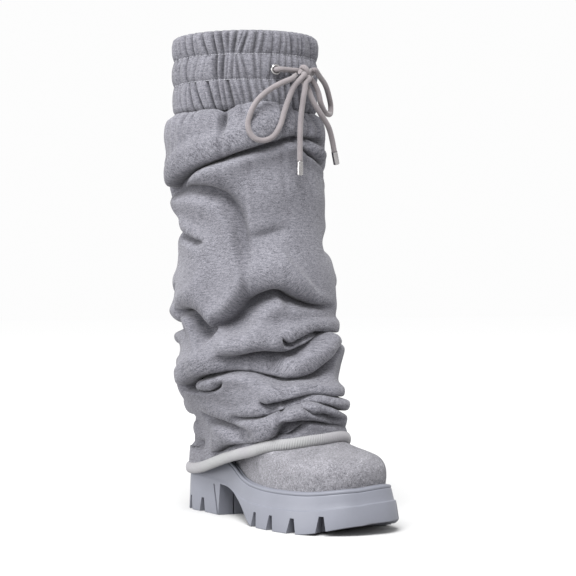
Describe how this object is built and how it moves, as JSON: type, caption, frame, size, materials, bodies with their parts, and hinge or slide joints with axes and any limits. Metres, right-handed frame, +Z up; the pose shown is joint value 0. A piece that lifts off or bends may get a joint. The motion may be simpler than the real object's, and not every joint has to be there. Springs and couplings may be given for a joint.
{
  "type": "boot",
  "caption": "Right slouch boot: lugged moulded sole, felt vamp, inner leg, loose folded sweat-cloth shaft with a corded hem, gathered elastic waistband and a tied drawcord.",
  "frame": {"origin": "The centre of the underside of the boot's bounding box, on the floor.", "axes": "+Z points up the leg, -Y points to the toe, and -X points to the outer side of the right foot."},
  "size_m": [0.1566, 0.2962, 0.454],
  "materials": {
    "sole": "satin moulded rubber, pale blue-grey",
    "lining": "matt grey lining cloth",
    "vamp_cloth": "mottled grey felted wool",
    "sweat_cloth": "grey marled sweat cloth",
    "hem_cord": "off-white ribbed knit over a cord",
    "drawcord": "round braided cotton, warm grey",
    "metal": "polished nickel"
  },
  "bodies": {
    "root": {"sole": "sole", "welt": "sole", "insole": "lining", "upper": "vamp_cloth", "hem_cord": "hem_cord", "shaft": "sweat_cloth", "waistband": "sweat_cloth", "eyelet_outer": "metal", "eyelet_inner": "metal", "cord_bar": "drawcord", "bow_knot": "drawcord", "bow_loop_outer": "drawcord", "bow_loop_inner": "drawcord", "cord_end_outer": "drawcord", "cord_end_inner": "drawcord", "cord_tip_outer": "metal", "cord_tip_inner": "metal"}
  },
  "joints": []
}
